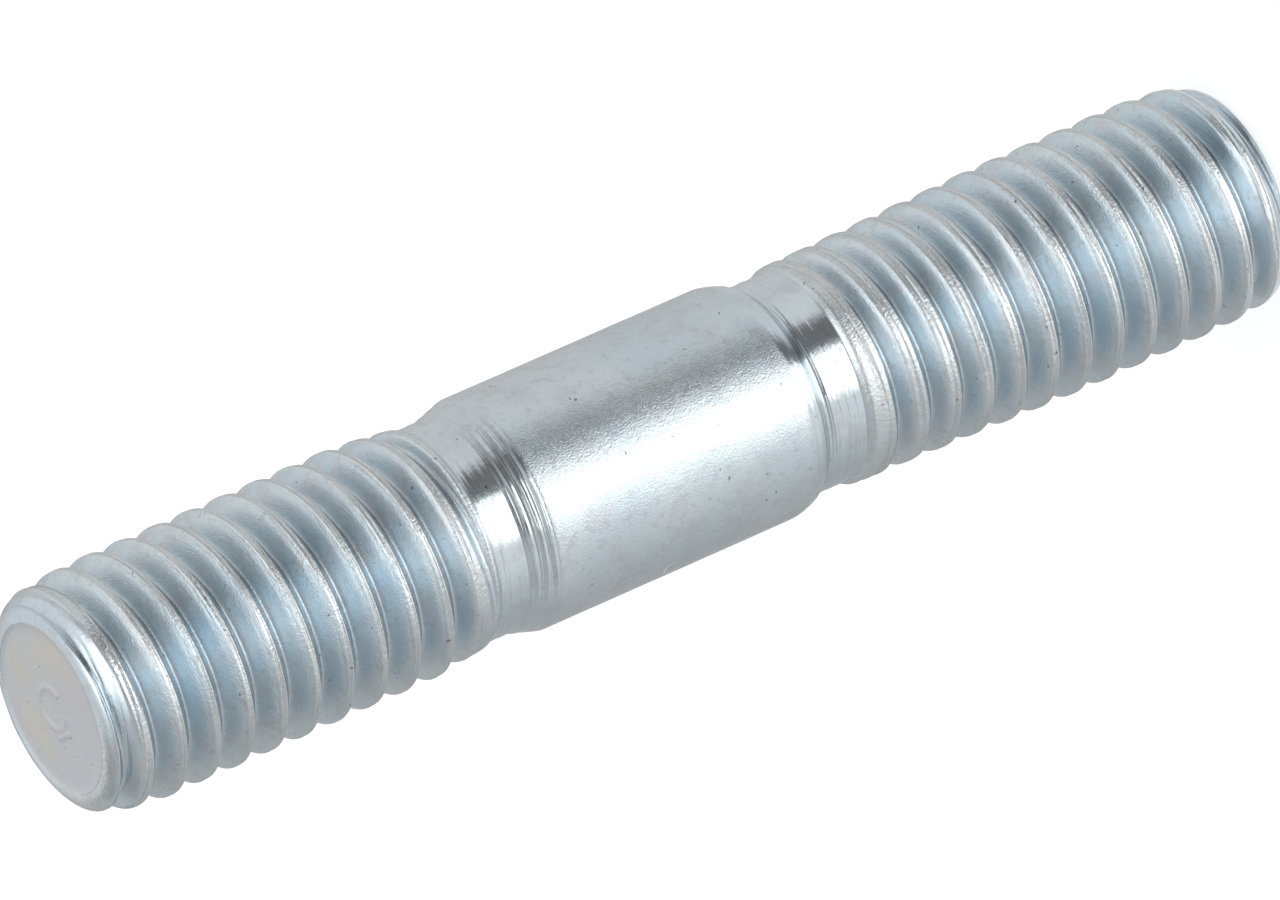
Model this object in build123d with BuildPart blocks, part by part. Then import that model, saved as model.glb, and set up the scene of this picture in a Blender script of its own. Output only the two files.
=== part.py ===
from build123d import *

import os
from math import atan2, cos, degrees, radians, sin, tan

# Double ended stud, M8 coarse: a plain shank between two rolled threads.
#
# The stud is one solid turned about the Z axis. It stands on the end of its long thread, with the
# centre of that end face at the origin, and its short thread is at the top. Millimetres.

# Overall size
LENGTH = 45.0
SHANK_RADIUS = 3.95

# Thread form: metric coarse, right hand, rolled, so the roots are round
PITCH = 1.25
FLANK_ANGLE = 30.0  # each flank, from the plane across the axis
PITCH_LINE_RADIUS = 3.55  # where ridge and groove are equally wide
ROOT_ROUNDING = 0.18
GROOVE_OVERRUN = 0.05  # how far the groove solid stands out past the crests

# Lower, long thread: its crests rise slowly out of the neck
LOWER_CREST_RADIUS = 3.94
LOWER_THREAD_LENGTH = 16.4
LOWER_CREST_RISE = 8.4  # length over which the crests reach their full radius
LOWER_CREST_START_RADIUS = 3.72
LOWER_RUNOUT_TURNS = 2.0
LOWER_START_ANGLE = 190.0

# Upper, short thread: its crests drop off within one turn
UPPER_CREST_RADIUS = 3.98
UPPER_THREAD_LENGTH = 14.4
UPPER_CREST_RISE = 1.9
UPPER_CREST_START_RADIUS = 3.74
UPPER_RUNOUT_TURNS = 1.5
UPPER_START_ANGLE = -10.0

# Necks of blank diameter between the threads and the shank
LOWER_NECK_RADIUS = 3.55
LOWER_NECK_LENGTH = 1.5
LOWER_SHOULDER_RADIUS = 1.9  # convex round from the shank down to the neck
UPPER_NECK_RADIUS = 3.63
UPPER_NECK_LENGTH = 1.1
UPPER_SHOULDER_ANGLE = 16.0  # cone from the neck up to the shank
UPPER_SHOULDER_ROUNDING = 0.6
NECK_BLEND = 0.25  # axial length of the slope from a neck to the first ridge

# Ends: a flat face inside a rounded nose, then a slight lead-in taper
NOSE_ROUNDING = 0.92
NOSE_TOP_RADIUS = 3.82
LEAD_TAPER = 2.4
TRIM_OVERRUN = 0.02  # how far a trimming cone runs on past the crests


def groove(thread_length, runout_turns, crest_radius, neck_radius):
    """One thread groove, in its own frame: end face at Z = 0 and +Z into the stud.

    It starts a turn outside the end face, keeps its depth in whole turns, and then climbs out of
    the metal on a cone until its root is clear of the neck.
    """
    flank = radians(FLANK_ANGLE)
    vertex_radius = PITCH_LINE_RADIUS - PITCH / 4 / tan(flank)
    root_radius = vertex_radius + ROOT_ROUNDING
    outer_radius = crest_radius + GROOVE_OVERRUN
    runout = runout_turns * PITCH
    deep_turns = 1 + int((thread_length - runout) / PITCH)
    deep_height = deep_turns * PITCH
    climb = neck_radius + GROOVE_OVERRUN - root_radius
    # Section, measured from the root outwards and across the groove
    tangent_depth = ROOT_ROUNDING * (1 - sin(flank))
    tangent_half = ROOT_ROUNDING * cos(flank)
    outer_depth = outer_radius - root_radius
    outer_half = tangent_half + (outer_depth - tangent_depth) * tan(flank)

    with BuildPart() as cutter:
        with BuildLine() as path:
            Helix(PITCH, deep_height, root_radius, center=(0, 0, -PITCH))
            Helix(
                PITCH,
                runout,
                root_radius,
                center=(0, 0, deep_height - PITCH),
                cone_angle=degrees(atan2(climb, runout)),
            )
        across = Plane(path.wire() @ 0, x_dir=(1, 0, 0), z_dir=path.wire() % 0)
        with BuildSketch(across):
            with BuildLine():
                Polyline(
                    (tangent_depth, -tangent_half),
                    (outer_depth, -outer_half),
                    (outer_depth, outer_half),
                    (tangent_depth, tangent_half),
                )
                ThreePointArc(
                    (tangent_depth, tangent_half), (0, 0), (tangent_depth, -tangent_half)
                )
            make_face()
        sweep(path=path.wire(), is_frenet=True)
    return cutter.part


def end_trim(crest_radius):
    """The ring taken off one end to leave a rounded nose and a slight lead-in taper.

    In its own frame: end face at Z = 0 and +Z into the stud.
    """
    arc_centre_radius = NOSE_TOP_RADIUS - NOSE_ROUNDING
    with BuildPart() as trim:
        with BuildSketch(Plane.XZ):
            with BuildLine():
                rounding = CenterArc(
                    (arc_centre_radius, NOSE_ROUNDING), NOSE_ROUNDING, -90, 90
                )
                Polyline(
                    rounding @ 1,
                    (crest_radius + TRIM_OVERRUN, LEAD_TAPER),
                    (crest_radius + NOSE_ROUNDING, LEAD_TAPER),
                    (crest_radius + NOSE_ROUNDING, -NOSE_ROUNDING),
                    (arc_centre_radius, -NOSE_ROUNDING),
                    rounding @ 0,
                )
            make_face()
        revolve(axis=Axis.Z)
    return trim.part


def crest_trim(thread_length, crest_rise, crest_radius, start_radius):
    """The ring taken off the crests beside the neck, so that the ridges rise out of it.

    In its own frame: end face at Z = 0 and +Z into the stud.
    """
    slope = (crest_radius - start_radius) / crest_rise
    full_level = thread_length - crest_rise - TRIM_OVERRUN / slope
    with BuildPart() as trim:
        with BuildSketch(Plane.XZ):
            with BuildLine():
                Polyline(
                    (start_radius - TRIM_OVERRUN * slope, thread_length + TRIM_OVERRUN),
                    (crest_radius + TRIM_OVERRUN, full_level),
                    (crest_radius + NOSE_ROUNDING, full_level),
                    (crest_radius + NOSE_ROUNDING, thread_length + TRIM_OVERRUN),
                    close=True,
                )
            make_face()
        revolve(axis=Axis.Z)
    return trim.part


# The two ends, each with +Z pointing into the stud
lower_end = Location((0, 0, 0))
upper_end = Location((0, 0, LENGTH), (180, 0, 0))

# Levels along the axis, from the lower end face up
lower_thread_top = LOWER_THREAD_LENGTH
lower_neck_top = lower_thread_top + LOWER_NECK_LENGTH
upper_thread_base = LENGTH - UPPER_THREAD_LENGTH
upper_neck_base = upper_thread_base - UPPER_NECK_LENGTH
upper_shoulder = (SHANK_RADIUS - UPPER_NECK_RADIUS) / tan(radians(UPPER_SHOULDER_ANGLE))
lower_drop = SHANK_RADIUS - LOWER_NECK_RADIUS
lower_shoulder = (lower_drop * (2 * LOWER_SHOULDER_RADIUS - lower_drop)) ** 0.5

with BuildPart() as stud:
    # Plain bar with square ends
    with BuildSketch(Plane.XZ):
        with BuildLine():
            lower_side = Polyline(
                (0, 0),
                (LOWER_CREST_RADIUS, 0),
                (LOWER_CREST_RADIUS, lower_thread_top),
                (LOWER_NECK_RADIUS, lower_thread_top + NECK_BLEND),
                (LOWER_NECK_RADIUS, lower_neck_top),
            )
            lower_round = RadiusArc(
                lower_side @ 1,
                (SHANK_RADIUS, lower_neck_top + lower_shoulder),
                -LOWER_SHOULDER_RADIUS,
            )
            upper_side = FilletPolyline(
                lower_round @ 1,
                (SHANK_RADIUS, upper_neck_base - upper_shoulder),
                (UPPER_NECK_RADIUS, upper_neck_base),
                (UPPER_NECK_RADIUS, upper_thread_base - NECK_BLEND),
                radius=UPPER_SHOULDER_ROUNDING,
            )
            Polyline(
                upper_side @ 1,
                (UPPER_CREST_RADIUS, upper_thread_base),
                (UPPER_CREST_RADIUS, LENGTH),
                (0, LENGTH),
                (0, 0),
            )
        make_face()
    revolve(axis=Axis.Z)
    # Threads
    with Locations(lower_end * Location((0, 0, 0), (0, 0, LOWER_START_ANGLE))):
        add(
            groove(
                LOWER_THREAD_LENGTH, LOWER_RUNOUT_TURNS, LOWER_CREST_RADIUS, LOWER_NECK_RADIUS
            ),
            mode=Mode.SUBTRACT,
        )
    with Locations(upper_end * Location((0, 0, 0), (0, 0, UPPER_START_ANGLE))):
        add(
            groove(
                UPPER_THREAD_LENGTH, UPPER_RUNOUT_TURNS, UPPER_CREST_RADIUS, UPPER_NECK_RADIUS
            ),
            mode=Mode.SUBTRACT,
        )
    # Rounded noses and rising crests, cut through the ridges
    with Locations(lower_end):
        add(end_trim(LOWER_CREST_RADIUS), mode=Mode.SUBTRACT)
        add(
            crest_trim(
                LOWER_THREAD_LENGTH,
                LOWER_CREST_RISE,
                LOWER_CREST_RADIUS,
                LOWER_CREST_START_RADIUS,
            ),
            mode=Mode.SUBTRACT,
        )
    with Locations(upper_end):
        add(end_trim(UPPER_CREST_RADIUS), mode=Mode.SUBTRACT)
        add(
            crest_trim(
                UPPER_THREAD_LENGTH,
                UPPER_CREST_RISE,
                UPPER_CREST_RADIUS,
                UPPER_CREST_START_RADIUS,
            ),
            mode=Mode.SUBTRACT,
        )

os.makedirs("parts", exist_ok=True)
stud.part.label = "stud"
export_step(stud.part, "parts/stud.step")
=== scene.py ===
"""Double ended stud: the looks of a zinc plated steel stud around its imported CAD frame.

The stud stands on the end of its long thread, with its axis on +Z. Its visible skin is one mesh whose
rows follow the thread helix. Metres everywhere in Blender, millimetres in the size fields.
"""

import logging
import math
from dataclasses import dataclass, field
from enum import Enum

import bmesh
import bpy
import numpy as np
from mathutils import Matrix, Vector


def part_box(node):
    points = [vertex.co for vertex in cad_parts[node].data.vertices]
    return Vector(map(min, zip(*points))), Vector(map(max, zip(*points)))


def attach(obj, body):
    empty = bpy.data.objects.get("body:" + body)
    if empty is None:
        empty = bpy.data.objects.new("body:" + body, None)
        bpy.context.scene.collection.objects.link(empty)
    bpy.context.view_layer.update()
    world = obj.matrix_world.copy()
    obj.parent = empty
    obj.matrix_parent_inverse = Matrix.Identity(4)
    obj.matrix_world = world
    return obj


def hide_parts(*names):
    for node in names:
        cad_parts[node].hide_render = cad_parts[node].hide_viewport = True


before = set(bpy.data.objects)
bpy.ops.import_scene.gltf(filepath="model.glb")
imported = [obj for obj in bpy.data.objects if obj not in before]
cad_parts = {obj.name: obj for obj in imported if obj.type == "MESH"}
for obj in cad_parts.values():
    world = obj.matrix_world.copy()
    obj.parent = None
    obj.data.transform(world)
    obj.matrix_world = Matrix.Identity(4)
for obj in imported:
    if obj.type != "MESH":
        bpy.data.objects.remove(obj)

MM = 0.001
LOG = logging.getLogger("double_ended_stud")
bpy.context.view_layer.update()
RAMP_LIMIT = 9.0
MERGE_DIGITS = 5
LEVEL_TOLERANCE = 1e-6
MASKS = ("crest", "groove", "turned", "thread")
MIX_SHARE, MIX_FIRST, MIX_SECOND, MIX_RESULT = 0, 6, 7, 2


class Slot(Enum):
    """Material slots of the record."""

    ZINC = "zinc_plated_steel"


class RayMask(Enum):
    """Rays that a stage piece stays out of."""

    CAMERA = "visible_camera"
    SHADOW = "visible_shadow"
    DIFFUSE = "visible_diffuse"


def smooth_step(low: float, high: float, value: np.ndarray) -> np.ndarray:
    """Rises smoothly from 0 at low to 1 at high.

    Args:
        low: value where the step starts.
        high: value where the step ends.
        value: values to map.

    Returns:
        The step's height at each value.
    """
    share = np.clip((value - low) / (high - low), 0.0, 1.0)
    return share * share * (3.0 - 2.0 * share)


def smooth_min(first: np.ndarray, second: np.ndarray, blend: float) -> np.ndarray:
    """The lesser of two surfaces, with their crossing rounded.

    Args:
        first: one height field.
        second: the other height field.
        blend: width of the rounding.

    Returns:
        The rounded minimum.
    """
    share = np.clip(0.5 + 0.5 * (second - first) / blend, 0.0, 1.0)
    return second + (first - second) * share - blend * share * (1.0 - share)


@dataclass(frozen=True)
class ThreadForm:
    """A rolled metric coarse thread, in millimetres, measured from its own end face inwards."""

    pitch: float = 1.25
    flank_slope: float = math.sqrt(3.0)
    pitch_line_radius: float = 3.62
    root_radius: float = 3.19
    crest_radius: float = 3.94
    length: float = 16.4
    crest_rise: float = 8.4
    crest_start_radius: float = 3.72
    runout: float = 0.9
    crest_phase: float = 0.0
    handed: float = 1.0
    root_blend: float = 0.22
    crest_blend: float = 0.07
    runout_lift: float = 0.55
    end_lift: float = 0.10
    unevenness: float = 0.010
    seam_depth: float = 0.062
    seam_width: float = 0.055
    seam_offset: float = 0.01
    outer_seam_offset: float = 0.16
    outer_seam_width_share: float = 0.8
    outer_seam_depth_share: float = 0.7
    groove_mask_depth: float = 0.6

    def groove(self, away: np.ndarray) -> np.ndarray:
        """Radius of the rolled groove, as if the crests ran out to a sharp edge.

        Args:
            away: distance from the nearest crest line.

        Returns:
            Radius at each place.
        """
        flank = self.pitch_line_radius + (self.pitch / 4.0 - away) * self.flank_slope
        return -smooth_min(-flank, np.full_like(flank, -self.root_radius), self.root_blend)

    def seam(self, side: np.ndarray) -> np.ndarray:
        """Depth of the narrow seams that rolling leaves along the crest.

        Args:
            side: signed distance from the crest line.

        Returns:
            Depth in millimetres.
        """
        outer_width = self.outer_seam_width_share * self.seam_width
        main = np.exp(-(((side - self.seam_offset) / self.seam_width) ** 2))
        outer = np.exp(-(((np.abs(side) - self.outer_seam_offset) / outer_width) ** 2))
        return self.seam_depth * (main + self.outer_seam_depth_share * outer)

    def crest_envelope(self, depth: np.ndarray) -> np.ndarray:
        """Radius that the crests reach at a distance from the end face.

        Args:
            depth: distances from the end face.

        Returns:
            Crest radius at each distance.
        """
        rise = np.clip((self.length - depth) / self.crest_rise, 0.0, 1.0)
        return self.crest_start_radius + (self.crest_radius - self.crest_start_radius) * rise

    def surface(
        self, depth: np.ndarray, angle: np.ndarray
    ) -> tuple[np.ndarray, np.ndarray, np.ndarray]:
        """Radius of the threaded end, with its masks.

        Args:
            depth: distance from this end's face.
            angle: angle about +Z, in radians.

        Returns:
            Radius, crest share and groove share at each point.
        """
        turn = (depth - self.crest_phase) / self.pitch - self.handed * angle / (2.0 * math.pi)
        side = (turn - np.round(turn)) * self.pitch
        fade = smooth_step(self.length - self.runout, self.length, depth)
        lift = self.runout_lift * fade + self.end_lift * smooth_step(1.5, 0.2, depth)
        crest = self.crest_envelope(depth)
        waves = np.sin(2.9 * turn + 3.0 * angle) + np.sin(5.3 * turn - 8.0 * angle)
        uneven = self.unevenness * waves
        open_groove = self.groove(np.abs(side)) + lift
        radius = smooth_min(crest, open_groove + uneven, self.crest_blend)
        on_crest = smooth_step(0.10, 0.02, crest - radius)
        strength = np.clip(0.75 + 0.45 * np.sin(3.7 * turn + 5.0 * angle), 0.2, 1.2)
        near_crest = smooth_step(0.13, 0.04, crest - radius)
        radius = radius - self.seam(side) * strength * near_crest
        in_groove = np.clip((crest - radius) / self.groove_mask_depth, 0.0, 1.0)
        return radius, on_crest, in_groove


@dataclass(frozen=True)
class Nose:
    """The rounded end of the blank, in millimetres."""

    face_radius: float = 2.90
    rounding: float = 0.92
    top_radius: float = 3.82
    taper: float = 2.4

    def radius(self, depth: np.ndarray, crest_radius: float) -> np.ndarray:
        """Largest radius of the blank at a distance from its end face.

        Args:
            depth: distances from the end face.
            crest_radius: radius of the full crests behind the nose.

        Returns:
            The blank's radius.
        """
        inside = np.clip(1.0 - depth / self.rounding, 0.0, 1.0)
        arc = self.face_radius + self.rounding * np.sqrt(np.clip(1.0 - inside**2, 0.0, 1.0))
        past = np.clip((depth - self.rounding) / (self.taper - self.rounding), 0.0, RAMP_LIMIT)
        taper = self.top_radius + (crest_radius - self.top_radius) * past
        return np.where(depth < self.rounding, arc, taper)


@dataclass(frozen=True)
class Pattern:
    """One noise pattern: cells per metre, octaves, and the weight of the finer octaves."""

    scale: float
    detail: float
    rough: float


@dataclass(frozen=True)
class ZincFinish:
    """Blue passivated zinc plating: satin metal with fine grain, specks and a patchy bloom."""

    name: str = "zinc_plate"
    pale: tuple[float, float, float] = (0.60, 0.66, 0.69)
    blue: tuple[float, float, float] = (0.42, 0.55, 0.64)
    worn: tuple[float, float, float] = (0.66, 0.66, 0.63)
    speck: tuple[float, float, float] = (0.14, 0.15, 0.16)
    face: tuple[float, float, float] = (0.60, 0.58, 0.60)
    dull: tuple[float, float, float] = (0.53, 0.55, 0.57)
    stain: tuple[float, float, float] = (0.45, 0.47, 0.48)
    face_blue: tuple[float, float, float] = (0.56, 0.60, 0.64)
    face_straw: tuple[float, float, float] = (0.62, 0.61, 0.55)
    bare: tuple[float, float, float] = (0.86, 0.86, 0.85)
    bloom_pattern: Pattern = Pattern(900.0, 5.0, 0.62)
    cloud_pattern: Pattern = Pattern(260.0, 3.0, 0.5)
    fine_pattern: Pattern = Pattern(15000.0, 3.0, 0.7)
    stain_pattern: Pattern = Pattern(3000.0, 4.0, 0.6)
    straw_pattern: Pattern = Pattern(380.0, 2.0, 0.5)
    speck_pattern: Pattern = Pattern(4200.0, 1.0, 0.5)
    line_pattern: Pattern = Pattern(8000.0, 2.0, 0.6)
    ridge_pattern: Pattern = Pattern(9000.0, 2.0, 0.6)
    pit_pattern: Pattern = Pattern(5000.0, 2.0, 0.5)
    line_stretch: tuple[float, float, float] = (0.02, 0.02, 1.0)
    roughness: float = 0.135
    grain: float = 0.019
    ridge_grain_share: float = 1.5
    pit_share: float = 0.25
    turning_relief: float = 0.035
    scratch_place: tuple[float, float, float] = (-0.00381, -0.00105, 0.02391)
    scratch_radius: float = 0.00032

    def material(self) -> bpy.types.Material:
        """Builds the node material.

        Returns:
            The material, which reads the mesh attributes crest, groove, face, turned and thread.
        """
        mat, tree = new_material(self.name)
        out = tree.node("ShaderNodeOutputMaterial")
        shader = tree.node("ShaderNodeBsdfPrincipled", Metallic=1.0)
        place = tree.node("ShaderNodeTexCoord").outputs["Object"]
        crest, groove = tree.attribute("crest"), tree.attribute("groove")
        face, turned, thread = (tree.attribute(name) for name in ("face", "turned", "thread"))

        bloom = tree.noise(place, self.bloom_pattern)
        cloud = tree.noise(place, self.cloud_pattern)
        fine = tree.noise(place, self.fine_pattern)
        groove_blue = tree.math("MULTIPLY", groove, 0.38)
        blue_share = tree.math("MULTIPLY_ADD", tree.band(cloud, 0.40, 0.62), 0.30, groove_blue)
        colour = tree.mix(blue_share, self.pale, self.blue)
        mottle = tree.math("MULTIPLY", tree.band(bloom, 0.48, 0.62), 0.50)
        colour = tree.mix(mottle, colour, self.dull)
        stained = tree.band(tree.noise(place, self.stain_pattern), 0.54, 0.70)
        colour = tree.mix(tree.math("MULTIPLY", stained, 0.42), colour, self.stain)
        ridge = tree.math("POWER", crest, 2.0)
        colour = tree.mix(tree.math("MULTIPLY", ridge, 0.30), colour, self.worn)
        pastel = tree.mix(tree.band(cloud, 0.30, 0.70), self.face_blue, self.face)
        straw = tree.band(tree.noise(place, self.straw_pattern), 0.42, 0.80)
        pastel = tree.mix(straw, pastel, self.face_straw)
        colour = tree.mix(face, colour, pastel)
        speck = tree.band(tree.noise(place, self.speck_pattern), 0.765, 0.79)
        colour = tree.mix(tree.math("MULTIPLY", speck, 0.7), colour, self.speck)
        colour = tree.mix(self.scratch(tree, place), colour, self.bare)
        tree.link(colour, shader.inputs["Base Color"])

        rough = tree.math("MULTIPLY_ADD", bloom, 0.14, self.roughness - 0.07)
        rough = tree.math("MULTIPLY_ADD", face, 0.30, rough)
        rough = tree.math("MULTIPLY_ADD", thread, 0.08, rough)
        tree.link(rough, shader.inputs["Roughness"])

        stretch = tree.node("ShaderNodeMapping")
        stretch.inputs["Scale"].default_value = self.line_stretch
        tree.link(place, stretch.inputs["Vector"])
        lines = tree.noise(stretch.outputs["Vector"], self.line_pattern)
        plain = tree.math("MULTIPLY_ADD", turned, -0.85, 1.0)
        grain = tree.bump(tree.math("MULTIPLY", fine, plain), 1.0, self.grain * MM, None)
        ridge_height = tree.math("MULTIPLY", tree.noise(place, self.ridge_pattern), ridge)
        grain = tree.bump(ridge_height, 1.0, self.ridge_grain_share * self.grain * MM, grain)
        pit_height = tree.noise(place, self.pit_pattern)
        pits = tree.bump(pit_height, 1.0, self.pit_share * self.grain * MM, grain)
        line_height = tree.math("MULTIPLY", lines, turned)
        turning = tree.bump(line_height, 1.0, self.turning_relief * MM, pits)
        tree.link(turning, shader.inputs["Normal"])
        tree.link(shader.outputs["BSDF"], out.inputs["Surface"])
        return mat

    def scratch(self, tree: "NodeDesk", place: bpy.types.NodeSocket) -> bpy.types.NodeSocket:
        """A short hooked scratch, low on the shank.

        Args:
            tree: node desk of the material.
            place: coordinates in metres.

        Returns:
            Share of the scratch at each place.
        """
        shifted = tree.node("ShaderNodeVectorMath")
        shifted.operation = "SUBTRACT"
        tree.link(place, shifted.inputs[0])
        shifted.inputs[1].default_value = self.scratch_place
        parts = tree.node("ShaderNodeSeparateXYZ")
        tree.link(shifted.outputs[0], parts.inputs[0])
        reach = tree.node("ShaderNodeVectorMath")
        reach.operation = "LENGTH"
        tree.link(shifted.outputs[0], reach.inputs[0])
        past = tree.math("SUBTRACT", reach.outputs["Value"], self.scratch_radius)
        off = tree.math("ABSOLUTE", past, 0.0)
        line = tree.band(off, 0.00006, 0.00002)
        half = tree.band(parts.outputs["Z"], -0.0002, 0.0001)
        return tree.math("MULTIPLY", line, half)


class NodeDesk:
    """Short calls that add and link shader nodes in one tree."""

    def __init__(self, tree: bpy.types.NodeTree) -> None:
        """Keeps the tree.

        Args:
            tree: node tree to work in.
        """
        self.tree = tree

    def node(self, kind: str, **values: float) -> bpy.types.Node:
        """Adds a node and sets named inputs.

        Args:
            kind: Blender's node type.
            values: input names, with their values.

        Returns:
            The new node.
        """
        made = self.tree.nodes.new(kind)
        for name, value in values.items():
            made.inputs[name].default_value = value
        return made

    def link(self, source: bpy.types.NodeSocket, target: bpy.types.NodeSocket) -> None:
        """Links an output to an input.

        Args:
            source: the output.
            target: the input.
        """
        self.tree.links.new(source, target)

    def feed(self, target: bpy.types.NodeSocket, value: object) -> None:
        """Puts a socket, a number or a colour into an input.

        Args:
            target: the input.
            value: socket, number or colour.
        """
        if isinstance(value, bpy.types.NodeSocket):
            self.link(value, target)
        elif isinstance(value, tuple):
            target.default_value = (*value, 1.0)
        else:
            target.default_value = value

    def attribute(self, name: str) -> bpy.types.NodeSocket:
        """The value of a mesh attribute.

        Args:
            name: the attribute's name.

        Returns:
            The socket that carries it.
        """
        made = self.tree.nodes.new("ShaderNodeAttribute")
        made.attribute_name = name
        return made.outputs["Fac"]

    def noise(self, place: bpy.types.NodeSocket, pattern: Pattern) -> bpy.types.NodeSocket:
        """Noise at a place.

        Args:
            place: coordinates in metres.
            pattern: size and roughness of the noise.

        Returns:
            The noise value.
        """
        made = self.node(
            "ShaderNodeTexNoise", Scale=pattern.scale, Detail=pattern.detail, Roughness=pattern.rough
        )
        self.link(place, made.inputs["Vector"])
        return made.outputs["Fac"]

    def band(self, value: bpy.types.NodeSocket, low: float, high: float) -> bpy.types.NodeSocket:
        """Stretches the span from low to high to 0 to 1, with soft ends.

        Args:
            value: the input value.
            low: where the result leaves 0.
            high: where the result reaches 1.

        Returns:
            The stretched value.
        """
        made = self.tree.nodes.new("ShaderNodeMapRange")
        made.interpolation_type = "SMOOTHSTEP"
        made.inputs["From Min"].default_value = low
        made.inputs["From Max"].default_value = high
        self.link(value, made.inputs["Value"])
        return made.outputs["Result"]

    def math(
        self, operation: str, first: object, second: object, third: object = None
    ) -> bpy.types.NodeSocket:
        """Arithmetic on sockets and numbers.

        Args:
            operation: Blender's operation name.
            first: first operand.
            second: second operand.
            third: third operand, for MULTIPLY_ADD.

        Returns:
            The result.
        """
        made = self.tree.nodes.new("ShaderNodeMath")
        made.operation = operation
        self.feed(made.inputs[0], first)
        self.feed(made.inputs[1], second)
        if third is not None:
            self.feed(made.inputs[2], third)
        return made.outputs[0]

    def mix(self, share: object, first: object, second: object) -> bpy.types.NodeSocket:
        """Mixes two colours.

        Args:
            share: how much of the second colour.
            first: first colour.
            second: second colour.

        Returns:
            The mixed colour.
        """
        made = self.tree.nodes.new("ShaderNodeMix")
        made.data_type = "RGBA"
        self.feed(made.inputs[MIX_SHARE], share)
        self.feed(made.inputs[MIX_FIRST], first)
        self.feed(made.inputs[MIX_SECOND], second)
        return made.outputs[MIX_RESULT]

    def bump(
        self, height: bpy.types.NodeSocket, strength: float, distance: float, under: object
    ) -> bpy.types.NodeSocket:
        """A bump over an optional lower bump.

        Args:
            height: height pattern.
            strength: bump strength.
            distance: height in metres.
            under: the normal to build on, or None.

        Returns:
            The new normal.
        """
        made = self.node("ShaderNodeBump", Strength=strength, Distance=distance)
        self.link(height, made.inputs["Height"])
        if under is not None:
            self.link(under, made.inputs["Normal"])
        return made.outputs["Normal"]


def new_material(name: str) -> tuple[bpy.types.Material, NodeDesk]:
    """Makes a node material with an empty tree.

    Args:
        name: the material's name.

    Returns:
        The material, and the desk that works in its tree.
    """
    mat = bpy.data.materials.new(name)
    mat.use_nodes = True
    mat.node_tree.nodes.clear()
    return mat, NodeDesk(mat.node_tree)


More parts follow.
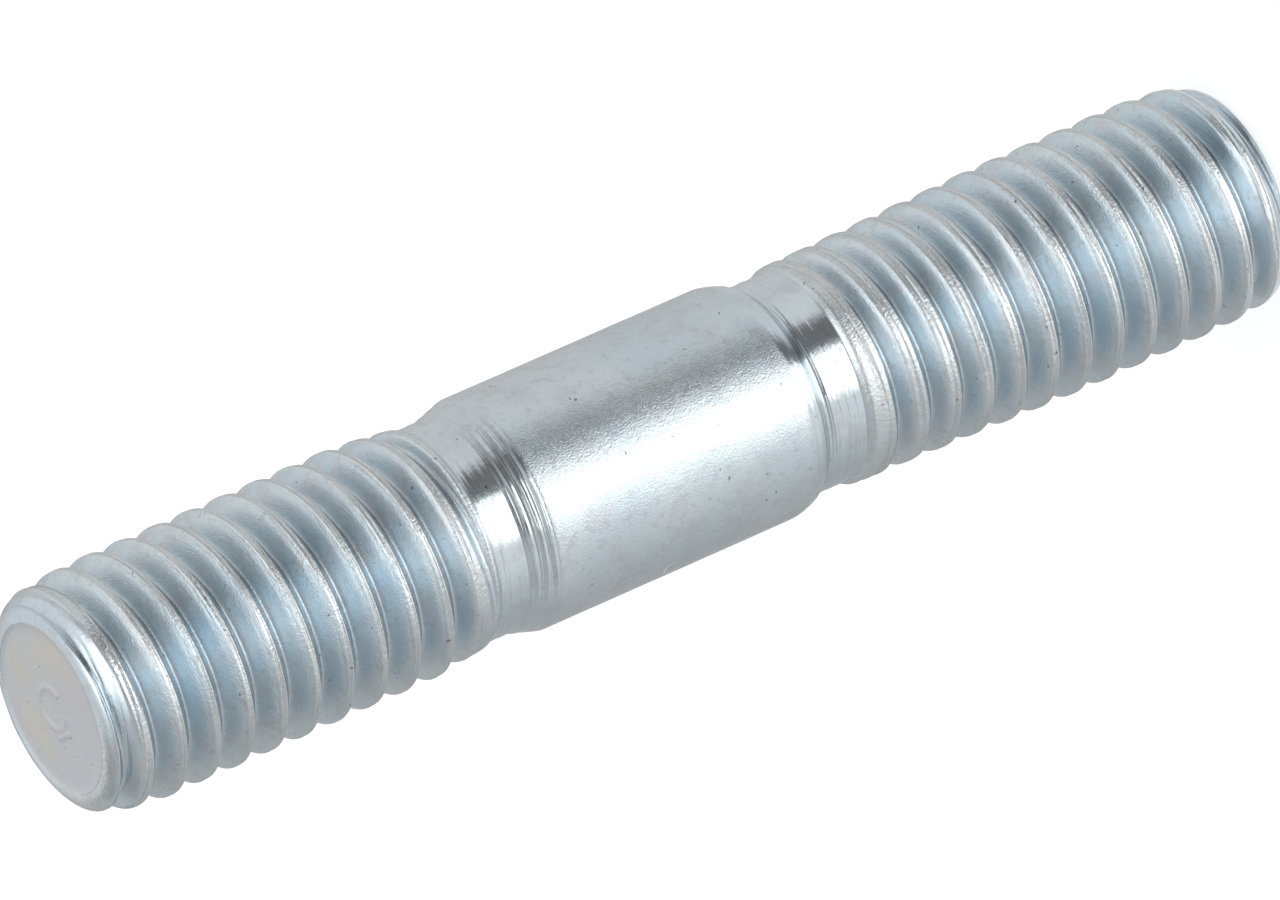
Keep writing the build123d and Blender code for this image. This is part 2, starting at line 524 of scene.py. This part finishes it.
@dataclass
class Stud:
    """The stud's visible skin: two rolled threads, their necks and the shank between them."""

    length: float = 45.0
    shank_radius: float = 3.95
    lower_neck_radius: float = 3.55
    lower_neck_length: float = 1.5
    lower_shoulder_radius: float = 1.9
    relief_depth: float = 0.07
    relief_offset: float = 0.02
    relief_width: float = 0.13
    upper_neck_radius: float = 3.63
    upper_neck_length: float = 1.1
    upper_shoulder_angle: float = 16.0
    nose_blend: float = 0.05
    fold_depth: float = 0.021
    fold_spacing: float = 0.27
    fine_fold_spacing: float = 0.19
    swell_depth: float = 0.0016
    ripple_depth: float = 0.0012
    ring_height: float = 0.006
    ring_sink: float = 0.015
    dish_depth: float = 0.050
    dish_slope: float = 0.010
    mark_height: float = 0.045
    mark_radius: float = 0.72
    around: int = 120
    row_shares: tuple[float, ...] = (
        0.018, 0.036, 0.056, 0.08, 0.11, 0.16, 0.22, 0.29, 0.35, 0.40, 0.45,
    )
    disc_rings: tuple[float, ...] = (
        0.985, 0.96, 0.93, 0.86, 0.76, 0.66, 0.56, 0.48, *np.arange(0.42, 0.05, -0.024),
    )
    ring_step: float = 0.05
    shank_rings: int = 23
    lower_section_top: float = 16.9
    upper_section_base: float = 30.1
    lower: ThreadForm = field(default_factory=lambda: ThreadForm(crest_phase=1.22))
    upper: ThreadForm = field(
        default_factory=lambda: ThreadForm(
            crest_radius=3.98,
            length=14.4,
            crest_rise=1.9,
            crest_start_radius=3.74,
            runout=0.8,
            crest_phase=0.66,
            handed=-1.0,
        )
    )
    nose: Nose = field(default_factory=Nose)
    finish: ZincFinish = field(default_factory=ZincFinish)

    def middle(self, level: np.ndarray) -> np.ndarray:
        """Radius of the necks, shoulders and shank.

        Args:
            level: heights above the lower end face.

        Returns:
            Radius at each height.
        """
        neck_top = self.lower.length + self.lower_neck_length
        drop = self.shank_radius - self.lower_neck_radius
        run = math.sqrt(drop * (2.0 * self.lower_shoulder_radius - drop))
        below = np.clip(neck_top + run - level, 0.0, run)
        rounded = self.shank_radius - (
            self.lower_shoulder_radius - np.sqrt(self.lower_shoulder_radius**2 - below**2)
        )
        lower = np.where(level > neck_top, rounded, self.lower_neck_radius)
        neck_base = self.length - self.upper.length - self.upper_neck_length
        slope = math.tan(math.radians(self.upper_shoulder_angle))
        cone = self.upper_neck_radius + np.clip(neck_base - level, 0.0, RAMP_LIMIT) * slope
        off = (level - neck_top - self.relief_offset) / self.relief_width
        relief = self.relief_depth * np.exp(-(off**2))
        shank = np.full_like(level, self.shank_radius)
        return smooth_min(smooth_min(lower - relief, cone, 0.03), shank, 0.02)

    def skin(self, level: np.ndarray, angle: np.ndarray) -> dict[str, np.ndarray]:
        """The whole outside as a radius over height and angle, with its surface masks.

        Args:
            level: heights above the lower end face.
            angle: angles about +Z.

        Returns:
            Arrays named radius, crest, groove, turned and thread.
        """
        lower_radius, lower_crest, lower_groove = self.lower.surface(level, angle)
        upper_radius, upper_crest, upper_groove = self.upper.surface(self.length - level, angle)
        middle = self.middle(level)
        lower_side = smooth_step(self.lower.length + 0.18, self.lower.length - 0.12, level)
        upper_start = self.length - self.upper.length
        upper_side = smooth_step(upper_start - 0.18, upper_start + 0.12, level)
        radius = middle + (lower_radius - middle) * lower_side + (upper_radius - middle) * upper_side
        nose = np.minimum(
            self.nose.radius(level, self.lower.crest_radius),
            self.nose.radius(self.length - level, self.upper.crest_radius),
        )
        crest = lower_crest * lower_side + upper_crest * upper_side
        groove = lower_groove * lower_side + upper_groove * upper_side
        neck = (1.0 - lower_side) * (1.0 - upper_side) * smooth_step(3.94, 3.90, middle)
        depth = np.minimum(level, self.length - level)
        turned = np.clip(neck + 0.8 * smooth_step(1.5, 0.9, depth), 0.0, 1.0)
        radius = smooth_min(radius, nose, self.nose_blend) - self.folds(depth, angle)
        rings = (self.turning_lines(level, angle) - self.ring_sink) * turned
        radius = radius + rings + self.waviness(level, angle)
        thread = np.clip(lower_side + upper_side, 0.0, 1.0)
        return {"radius": radius, "crest": crest, "groove": groove, "turned": turned, "thread": thread}

    def folds(self, depth: np.ndarray, angle: np.ndarray) -> np.ndarray:
        """Depth of the fine folds that rolling leaves round a nose.

        Args:
            depth: distance from the nearer end face.
            angle: angles about +Z.

        Returns:
            Depth in millimetres.
        """
        wave = np.sin(2.0 * math.pi * depth / self.fold_spacing + 0.9 * np.sin(angle + 1.1))
        fine_turn = 2.0 * math.pi * depth / self.fine_fold_spacing
        wave = wave + 0.5 * np.sin(fine_turn - 0.7 * np.sin(2.0 * angle))
        rise = smooth_step(0.05, 0.20, depth)
        return self.fold_depth * (1.5 + wave) * rise * smooth_step(1.7, 1.1, depth)

    def waviness(self, level: np.ndarray, angle: np.ndarray) -> np.ndarray:
        """Slight unevenness that rolling and plating leave everywhere, never outwards.

        Args:
            level: heights above the lower end face.
            angle: angles about +Z.

        Returns:
            Change of radius, in millimetres.
        """
        swell = np.sin(0.9 * level + 2.0 * angle) + np.sin(2.3 * level - 3.0 * angle + 1.0)
        ripple = np.sin(7.0 * angle + 1.7 * level) * np.sin(3.1 * level)
        ripple = ripple + np.sin(11.0 * angle - 5.3 * level)
        inner = smooth_step(0.0, 0.4, np.minimum(level, self.length - level))
        coarse = self.swell_depth * (swell - 2.0) * inner
        return coarse + self.ripple_depth * (ripple - 2.0) * inner

    def turning_lines(self, level: np.ndarray, angle: np.ndarray) -> np.ndarray:
        """Fine rings left by the tools on the necks and noses.

        Args:
            level: heights above the lower end face.
            angle: angles about +Z.

        Returns:
            Height of the rings, in millimetres.
        """
        drift = 0.05 * np.sin(angle + 0.7)
        rings = np.sin(19.0 * (level + drift)) + 0.8 * np.sin(31.0 * level + 1.3)
        return self.ring_height * (rings + 0.6 * np.sin(11.0 * level))

    def thread_rows(self, crest_level: float, base: float, top: float) -> tuple[np.ndarray, int]:
        """Rows that follow the helix, close together on the crests.

        Args:
            crest_level: height of any crest at angle 0.
            base: lower plane of the section.
            top: upper plane of the section.

        Returns:
            Heights by row and column, clamped to the section, and the number of rows in a pitch.
        """
        pitch = self.lower.pitch
        offsets = sorted([0.0, 0.5, *self.row_shares, *(1.0 - share for share in self.row_shares)])
        first = math.floor((base - crest_level) / pitch) - 1
        last = math.ceil((top - crest_level) / pitch) + 1
        starts = [
            crest_level + pitch * (turn + share) for turn in range(first, last) for share in offsets
        ]
        rise = pitch * np.arange(self.around) / self.around
        return np.clip(np.array(starts)[:, None] + rise[None, :], base, top), len(offsets)

    def plain_rows(self, base: float, top: float) -> tuple[np.ndarray, int]:
        """Level rings between the threads, close together on the necks and shoulders.

        Args:
            base: lower plane of the section.
            top: upper plane of the section.

        Returns:
            Heights by row and column, and 0, because a ring meets itself.
        """
        low = np.arange(base, base + 2.7, self.ring_step)
        high = np.arange(top, top - 2.3, -self.ring_step)[::-1]
        between = np.linspace(low[-1], high[0], self.shank_rings)[1:-1]
        rings = np.concatenate([low, between, high])
        return np.repeat(rings[:, None], self.around, axis=1), 0

    def section(self, level: np.ndarray, shift: int, offset: int) -> np.ndarray:
        """Quads over one section of rows.

        Args:
            level: heights by row and column.
            shift: rows between a row's last column and the row it meets.
            offset: number of points before this section.

        Returns:
            Corner numbers of each quad.
        """
        rows, cols = level.shape
        row, col = np.meshgrid(np.arange(rows - 1), np.arange(cols), indexing="ij")
        lift = np.where(col + 1 == cols, shift, 0)
        low = np.minimum(row + lift, rows - 1)
        high = np.minimum(row + 1 + lift, rows - 1)
        right = (col + 1) % cols
        corners = [row * cols + col, low * cols + right, high * cols + right, (row + 1) * cols + col]
        return np.stack(corners, -1).reshape(-1, 4) + offset

    def build_mesh(self) -> bpy.types.Mesh:
        """Builds the closed skin.

        Returns:
            The mesh, in metres, with its masks as point attributes.
        """
        angles = np.arange(self.around) * 2.0 * math.pi / self.around
        upper_crest = self.length - self.upper.crest_phase
        parts = [
            self.thread_rows(self.lower.crest_phase, 0.0, self.lower_section_top),
            self.plain_rows(self.lower_section_top, self.upper_section_base),
            self.thread_rows(upper_crest, self.upper_section_base, self.length),
        ]
        quads, offset = [], 0
        for level, shift in parts:
            quads.append(self.section(level, shift, offset))
            offset += level.size
        level = np.concatenate([part[0] for part in parts])
        spread = np.broadcast_to(angles, level.shape)
        skin = self.skin(level, spread)
        radius = skin["radius"]
        points = np.stack([radius * np.cos(spread), radius * np.sin(spread), level], -1)
        points = points.reshape(-1, 3)
        _, first, merged = np.unique(
            np.round(points, MERGE_DIGITS), axis=0, return_index=True, return_inverse=True
        )
        faces = []
        for quad in merged.reshape(-1)[np.concatenate(quads)].tolist():
            loop = [v for i, v in enumerate(quad) if v != quad[i - 1]]
            if len(set(loop)) >= 3:
                faces.append(loop)
        mesh = bpy.data.meshes.new("stud_skin")
        mesh.from_pydata((points[first] * MM).tolist(), [], faces)
        for name in MASKS:
            layer = mesh.attributes.new(name, "FLOAT", "POINT")
            layer.data.foreach_set("value", skin[name].reshape(-1)[first].astype(np.float32))
        mesh.attributes.new("face", "FLOAT", "POINT")
        self.close_ends(mesh)
        return mesh

    def close_ends(self, mesh: bpy.types.Mesh) -> None:
        """Closes both ends with slightly dished discs and smooths the shading.

        Args:
            mesh: the open skin, which gets its end faces.
        """
        work = bmesh.new()
        work.from_mesh(mesh)
        names = {name: work.verts.layers.float.get(name) for name in (*MASKS, "face")}
        loose = [v for v in work.verts if not v.link_faces]
        bmesh.ops.delete(work, geom=loose, context="VERTS")
        for level, up in ((0.0, -1.0), (self.length * MM, 1.0)):
            rim = [
                edge
                for edge in work.edges
                if edge.is_boundary
                and all(abs(v.co.z - level) < LEVEL_TOLERANCE for v in edge.verts)
            ]
            self.fill_disc(work, rim, level, up, names)
        bmesh.ops.recalc_face_normals(work, faces=work.faces)
        for made in work.faces:
            made.smooth = True
        work.to_mesh(mesh)
        work.free()

    def fill_disc(
        self,
        work: bmesh.types.BMesh,
        rim: list[bmesh.types.BMEdge],
        level: float,
        up: float,
        names: dict[str, bmesh.types.BMLayerItem],
    ) -> None:
        """Fills one end with rings that shrink to the centre.

        Args:
            work: mesh being edited.
            rim: boundary edges of that end.
            level: height of the end face, in metres.
            up: 1 for the upper end and -1 for the lower.
            names: float layers by name.
        """
        edges = rim
        outer = self.nose.face_radius
        for ring in self.disc_rings:
            grown = bmesh.ops.extrude_edge_only(work, edges=edges)
            points = [g for g in grown["geom"] if isinstance(g, bmesh.types.BMVert)]
            edges = [g for g in grown["geom"] if isinstance(g, bmesh.types.BMEdge)]
            for point in points:
                angle = math.atan2(point.co.y, point.co.x)
                spot = Vector((math.cos(angle), math.sin(angle), 0.0)) * (ring * outer)
                dished = float(smooth_step(1.0, 0.93, np.array(ring)))
                sink = self.dish_depth * dished + self.dish_slope * (1.0 - ring)
                spot.z = level / MM - up * (sink - self.mark_height * self.end_mark(spot, up))
                point.co = spot * MM
                point[names["face"]] = float(smooth_step(1.0, 0.94, np.array(ring)))
                for other in MASKS:
                    point[names[other]] = 0.0
        bmesh.ops.contextual_create(work, geom=edges)

    def end_mark(self, spot: Vector, up: float) -> float:
        """Height of the small plain mark, a broken ring with a foot, raised on the upper end.

        Args:
            spot: place on the end face, in millimetres.
            up: 1 for the upper end, which carries the mark.

        Returns:
            Share of the mark's height.
        """
        if up < 0.0:
            return 0.0
        reach = math.hypot(spot.x, spot.y)
        bearing = math.degrees(math.atan2(spot.y, spot.x)) % 360.0
        closed = 0.0 if 235.0 < bearing < 290.0 else 1.0
        on_ring = math.exp(-(((reach - self.mark_radius) / 0.10) ** 2)) * closed
        on_foot = math.exp(-(((spot.x + 0.95) / 0.09) ** 2)) * float(abs(spot.y) < 0.5)
        return max(on_ring, on_foot)

    def build(self) -> bpy.types.Object:
        """Makes the piece and ties it to the frame.

        Returns:
            The stud's object.
        """
        piece = bpy.data.objects.new("stud_body", self.build_mesh())
        bpy.context.scene.collection.objects.link(piece)
        piece.data.materials.append(self.finish.material())
        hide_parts("stud")
        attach(piece, "root")
        return piece


@dataclass
class StudioFloor:
    """A white floor that keeps the stud's soft shadow."""

    half_size: float = 2.5
    grey: float = 0.34
    glow: float = 0.78

    def build(self) -> bpy.types.Object:
        """Makes the floor.

        Returns:
            The floor's object.
        """
        mesh = bpy.data.meshes.new("floor")
        reach = self.half_size
        corners = [(-reach, -reach, 0), (reach, -reach, 0), (reach, reach, 0), (-reach, reach, 0)]
        mesh.from_pydata(corners, [], [(0, 1, 2, 3)])
        floor = bpy.data.objects.new("floor", mesh)
        bpy.context.scene.collection.objects.link(floor)
        floor.data.materials.append(self.material())
        return floor

    def material(self) -> bpy.types.Material:
        """Diffuse white that glows for camera, glossy and transmission rays.

        Returns:
            The floor's material.
        """
        mat, tree = new_material("floor_paper")
        out = tree.node("ShaderNodeOutputMaterial")
        paper = tree.node("ShaderNodeBsdfDiffuse")
        paper.inputs["Color"].default_value = (self.grey, self.grey, self.grey, 1.0)
        rays = tree.node("ShaderNodeLightPath")
        seen = tree.math("MAXIMUM", rays.outputs["Is Camera Ray"], rays.outputs["Is Glossy Ray"])
        seen = tree.math("MAXIMUM", seen, rays.outputs["Is Transmission Ray"])
        light = tree.node("ShaderNodeEmission")
        tree.link(tree.math("MULTIPLY", seen, self.glow), light.inputs["Strength"])
        both = tree.node("ShaderNodeAddShader")
        tree.link(paper.outputs[0], both.inputs[0])
        tree.link(light.outputs[0], both.inputs[1])
        tree.link(both.outputs[0], out.inputs["Surface"])
        return mat


@dataclass
class StudioSurround:
    """Light tent round the stud, seen only in reflections, with a bright panel and a dark gap.

    Bearings are degrees from the front, positive to the right. Each stop is a bearing and a strength.
    """

    table_stops: tuple[tuple[float, float], ...] = (
        (-180.0, 0.52), (-140.0, 0.52), (-110.0, 0.58), (-85.0, 0.74), (-58.0, 0.96), (-42.0, 1.0),
        (-32.0, 1.02), (-27.0, 2.4), (13.0, 2.4), (17.0, 0.9), (20.0, 0.22), (47.0, 0.22), (52.0, 0.78),
        (60.0, 0.90), (80.0, 0.86), (95.0, 0.78), (130.0, 0.76), (180.0, 0.52),
    )
    horizon_stops: tuple[tuple[float, float], ...] = (
        (-180.0, 0.70), (-100.0, 0.55), (-60.0, 0.55), (-36.0, 0.45), (-24.0, 0.20), (46.0, 0.16),
        (66.0, 0.50), (100.0, 0.75), (180.0, 0.70),
    )
    sky_stops: tuple[tuple[float, float], ...] = (
        (-180.0, 0.92), (-170.0, 0.80), (-156.0, 0.46), (-142.0, 0.40), (-130.0, 0.52), (-100.0, 0.60),
        (-60.0, 0.62), (0.0, 0.88), (22.0, 0.80), (38.0, 0.48), (66.0, 0.48), (84.0, 0.92), (120.0, 0.96),
        (180.0, 0.92),
    )
    zenith: float = 1.30
    radius: float = 1.2
    inner: float = 0.0045
    lift: float = 0.0004
    table_rings: tuple[float, ...] = (0.05, 0.2, 0.6)
    table_margin: float = 0.05
    height_step: int = 5
    horizon_fade: tuple[float, float] = (10.0, 26.0)
    zenith_fade: tuple[float, float] = (52.0, 88.0)
    steps: int = 180

    def strength(self, bearing: float, height: float) -> float:
        """Glow of the tent in one direction.

        Args:
            bearing: degrees from the front.
            height: degrees above the table.

        Returns:
            Emission strength.
        """
        if height < 0.0:
            return float(np.interp(bearing, *zip(*self.table_stops)))
        low = float(np.interp(bearing, *zip(*self.horizon_stops)))
        high = float(np.interp(bearing, *zip(*self.sky_stops)))
        share = float(smooth_step(*self.horizon_fade, np.array(height)))
        top = float(smooth_step(*self.zenith_fade, np.array(height)))
        return (low + (high - low) * share) * (1.0 - top) + self.zenith * top

    def build(self) -> bpy.types.Object:
        """Makes the tent, from a disc just over the floor up to the crown.

        Returns:
            The tent's object.
        """
        table = (self.inner, *self.table_rings, self.radius - self.table_margin)
        rows = [(radius, self.lift, -1.0) for radius in table]
        for height in range(0, 91, self.height_step):
            turn = math.radians(height)
            level = self.lift + self.radius * math.sin(turn)
            rows.append((self.radius * math.cos(turn), level, float(height)))
        verts, faces, glow = [], [], []
        for radius, level, height in rows:
            for i in range(self.steps):
                bearing = -180.0 + 360.0 * i / self.steps
                angle = math.radians(bearing - 90.0)
                verts.append((radius * math.cos(angle), radius * math.sin(angle), level))
                glow.append(self.strength(bearing, height))
        for row in range(len(rows) - 1):
            for i in range(self.steps):
                base, right = row * self.steps + i, row * self.steps + (i + 1) % self.steps
                faces.append((base, right, right + self.steps, base + self.steps))
        mesh = bpy.data.meshes.new("light_tent")
        mesh.from_pydata(verts, [], faces)
        mesh.attributes.new("glow", "FLOAT", "POINT").data.foreach_set("value", glow)
        tent = bpy.data.objects.new("light_tent", mesh)
        bpy.context.scene.collection.objects.link(tent)
        tent.data.materials.append(self.material())
        for mask in RayMask:
            setattr(tent, mask.value, False)
        return tent

    def material(self) -> bpy.types.Material:
        """Plain glow, as strong as the mesh says.

        Returns:
            The tent's material.
        """
        mat, tree = new_material("light_tent")
        light = tree.node("ShaderNodeEmission")
        tree.link(tree.attribute("glow"), light.inputs["Strength"])
        tree.link(light.outputs[0], tree.node("ShaderNodeOutputMaterial").inputs["Surface"])
        return mat


@dataclass
class StudioLight:
    """Soft overhead light and the even surround."""

    surround: float = 0.72
    surround_tint: tuple[float, float, float, float] = (0.93, 0.97, 1.0, 1.0)
    power: float = 0.9
    size: float = 0.5
    place: tuple[float, float, float] = (0.10, -0.25, 0.6)
    target: tuple[float, float, float] = (0.0, 0.0, 0.02)

    def build(self) -> None:
        """Makes the surround and one large overhead lamp."""
        world = bpy.data.worlds.new("studio")
        world.use_nodes = True
        back = world.node_tree.nodes["Background"]
        back.inputs["Color"].default_value = self.surround_tint
        back.inputs["Strength"].default_value = self.surround
        bpy.context.scene.world = world
        lamp = bpy.data.lights.new("overhead_softbox", "AREA")
        lamp.size = self.size
        lamp.energy = self.power
        holder = bpy.data.objects.new("overhead_softbox", lamp)
        holder.location = self.place
        aim = Vector(self.target) - holder.location
        holder.rotation_euler = aim.to_track_quat("-Z", "Y").to_euler()
        bpy.context.scene.collection.objects.link(holder)


@dataclass
class StudioCamera:
    """A long lens that looks down on the standing stud and is rolled onto its side."""

    elevation: float = 25.72
    roll: float = 113.79
    distance: float = 0.8554
    lens: float = 765.0
    aside: tuple[float, float] = (0.000236, -0.000120)
    far_clip: float = 20.0

    def build(self, centre: Vector) -> bpy.types.Object:
        """Makes the camera and sets it as the scene's.

        Args:
            centre: the stud's middle, in metres.

        Returns:
            The camera's object.
        """
        tilt = math.radians(self.elevation)
        forward = Vector((0.0, math.cos(tilt), -math.sin(tilt)))
        level_right = Vector((1.0, 0.0, 0.0))
        level_up = Vector((0.0, math.sin(tilt), math.cos(tilt)))
        turn = math.radians(self.roll)
        right = level_right * math.cos(turn) - level_up * math.sin(turn)
        up = level_right * math.sin(turn) + level_up * math.cos(turn)
        data = bpy.data.cameras.new("camera")
        data.lens = self.lens
        data.clip_end = self.far_clip
        camera = bpy.data.objects.new("camera", data)
        place = centre - forward * self.distance - right * self.aside[0] + up * self.aside[1]
        basis = Matrix((right, up, -forward)).transposed()
        camera.matrix_world = Matrix.Translation(place) @ basis.to_4x4()
        bpy.context.scene.collection.objects.link(camera)
        bpy.context.scene.camera = camera
        return camera


def main() -> None:
    """Builds the stage and the stud, and reports each piece."""
    logging.basicConfig(level=logging.INFO, format="%(name)s: %(message)s")
    bpy.context.scene.view_settings.view_transform = "Standard"
    low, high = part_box("stud")
    StudioCamera().build((low + high) / 2)
    StudioLight().build()
    StudioFloor().build()
    StudioSurround().build()
    piece = Stud(length=(high.z - low.z) / MM).build()
    LOG.info("%s: %d faces", piece.name, len(piece.data.polygons))
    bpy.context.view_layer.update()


if __name__ == "__main__":
    main()
